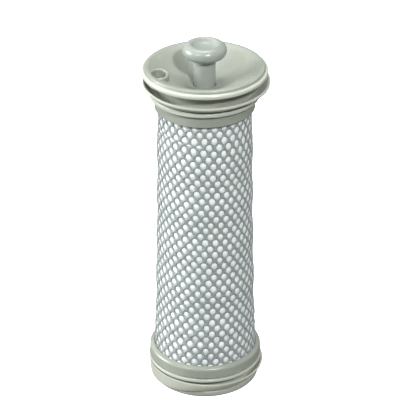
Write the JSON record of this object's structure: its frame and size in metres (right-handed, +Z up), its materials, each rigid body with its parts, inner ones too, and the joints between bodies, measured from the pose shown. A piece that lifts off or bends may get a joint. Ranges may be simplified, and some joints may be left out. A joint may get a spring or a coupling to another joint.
{
  "type": "filter cartridge",
  "caption": "Washable tubular filter cartridge: net over felt on a moulded cage, a flared lip seal at each end, and a dished end cap with a pull knob.",
  "frame": {"origin": "centre of the underside of the base ring, which the cartridge stands on", "axes": "+Z up the cartridge's axis towards the pull knob; -Y is the front, with the oval well of the end cap on the -X side"},
  "size_m": [0.051, 0.051, 0.1508],
  "materials": {
    "end_plastic": "moulded grey-green plastic, satin, fine moulding texture",
    "knob_plastic": "moulded grey-green plastic, satin, slightly lighter",
    "seal_rubber": "soft grey-green elastomer, dull",
    "o_ring_rubber": "black rubber",
    "cage_plastic": "pale grey moulded plastic",
    "potting": "hardened off-white adhesive",
    "felt": "white needle felt",
    "net": "grey knitted open net",
    "clip_steel": "spring steel"
  },
  "bodies": {
    "cartridge": {"base_ring": "end_plastic", "bottom_lip_seal": "seal_rubber", "bottom_collar": "end_plastic", "bottom_glue_bead": "potting", "support_cage": "cage_plastic", "felt_media": "felt", "outer_net": "net", "net_seam": "net", "top_glue_bead": "potting", "top_collar": "end_plastic", "top_lip_seal": "seal_rubber", "end_cap": "end_plastic"},
    "knob": {"pull_knob": "knob_plastic", "knob_o_ring": "o_ring_rubber", "knob_clip": "clip_steel"}
  },
  "joints": [
    {"name": "knob_turn", "type": "hinge", "parent": "cartridge", "child": "knob", "pos_m": [0, 0, 0.1333], "axis": [0, 0, 1], "continuous": true}
  ]
}
